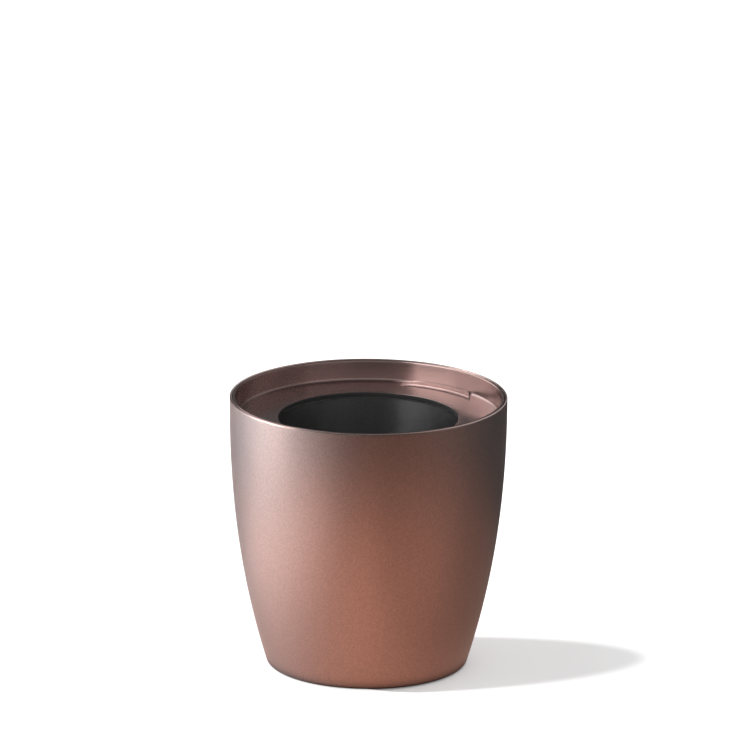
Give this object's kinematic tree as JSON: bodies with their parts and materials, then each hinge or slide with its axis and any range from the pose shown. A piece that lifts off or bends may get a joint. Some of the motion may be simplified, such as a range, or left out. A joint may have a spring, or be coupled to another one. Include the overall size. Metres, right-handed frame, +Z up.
{
  "type": "milk frother",
  "caption": "Tapered copper-painted milk frother jug with a glossy inner collar, a dark non-stick pot and a magnetically driven whisk.",
  "frame": {"origin": "centre of the jug's round foot, on the table it stands on", "axes": "+Z up along the jug's and the motor's common axis; +X and +Y are level and at right angles to it, and each lid rib ends at a flat stop that faces along X, 40.3 mm from the axis"},
  "size_m": [0.11, 0.11, 0.1097],
  "materials": {
    "shell_paint": "satin metallic copper paint with a fine grain",
    "collar_gloss": "high-gloss metallic copper lacquer",
    "nonstick": "dark non-stick coating with a slight orange peel",
    "black_plastic": "fine moulded texture",
    "pale_plastic": "natural moulded plastic",
    "board_green": "solder-mask green laminate",
    "relay_blue": "moulded component case",
    "wire_red": "insulated wire",
    "rubber_black": "matt rubber",
    "seal_silicone": "soft silicone",
    "steel": "brushed stainless steel",
    "zinc_steel": "zinc-plated fasteners",
    "aluminium": "bare aluminium",
    "brass": "plated contact brass",
    "magnet_grey": "sintered magnet",
    "armature_copper": "wound copper wire"
  },
  "bodies": {
    "jug": {"outer_shell": "shell_paint", "rim_collar": "collar_gloss", "pot_seal": "seal_silicone", "milk_pot": "nonstick", "pot_clamp_ring": "steel", "pot_screws": "zinc_steel", "pivot_post": "steel", "heat_shield": "aluminium", "inner_housing": "black_plastic", "heater_plate": "aluminium", "heater_element": "steel", "temperature_sensor": "pale_plastic", "thermal_fuse": "pale_plastic", "motor_bracket": "steel", "vibration_mounts": "rubber_black", "bracket_screws": "zinc_steel", "motor_can": "steel", "motor_end_cap": "pale_plastic", "motor_magnets": "magnet_grey", "motor_bushes": "brass", "motor_screws": "zinc_steel", "chassis": "black_plastic", "chassis_screws": "zinc_steel", "base_cover": "black_plastic", "rubber_feet": "rubber_black", "cover_screws": "zinc_steel", "connector_socket": "black_plastic", "connector_screws": "zinc_steel", "centre_contact": "brass", "inner_ring_contact": "brass", "outer_ring_contact": "brass", "control_board": "board_green", "board_relay": "relay_blue", "board_capacitor": "relay_blue", "board_chips": "black_plastic", "board_screws": "zinc_steel", "wiring": "wire_red"},
    "rotor": {"motor_shaft": "steel", "motor_armature": "armature_copper", "magnet_carrier": "pale_plastic", "drive_magnets": "magnet_grey"},
    "whisk_bush_body": {"whisk_bush": "pale_plastic"},
    "whisk": {"whisk_hub": "black_plastic", "whisk_cover": "black_plastic", "whisk_magnets": "magnet_grey", "whisk_coil": "steel"}
  },
  "joints": [
    {"name": "motor_spin", "type": "hinge", "parent": "jug", "child": "rotor", "pos_m": [0, 0, 0.03], "axis": [0, 0, 1], "continuous": true},
    {"name": "whisk_lift", "type": "slide", "parent": "jug", "child": "whisk_bush_body", "axis": [0, 0, 1], "range_m": [0, 0.075]},
    {"name": "whisk_spin", "type": "hinge", "parent": "whisk_bush_body", "child": "whisk", "pos_m": [0, 0, 0.05], "axis": [0, 0, 1], "continuous": true}
  ],
  "couplings": [
    {"joint": "whisk_spin", "follows": "motor_spin", "ratio": 1}
  ]
}
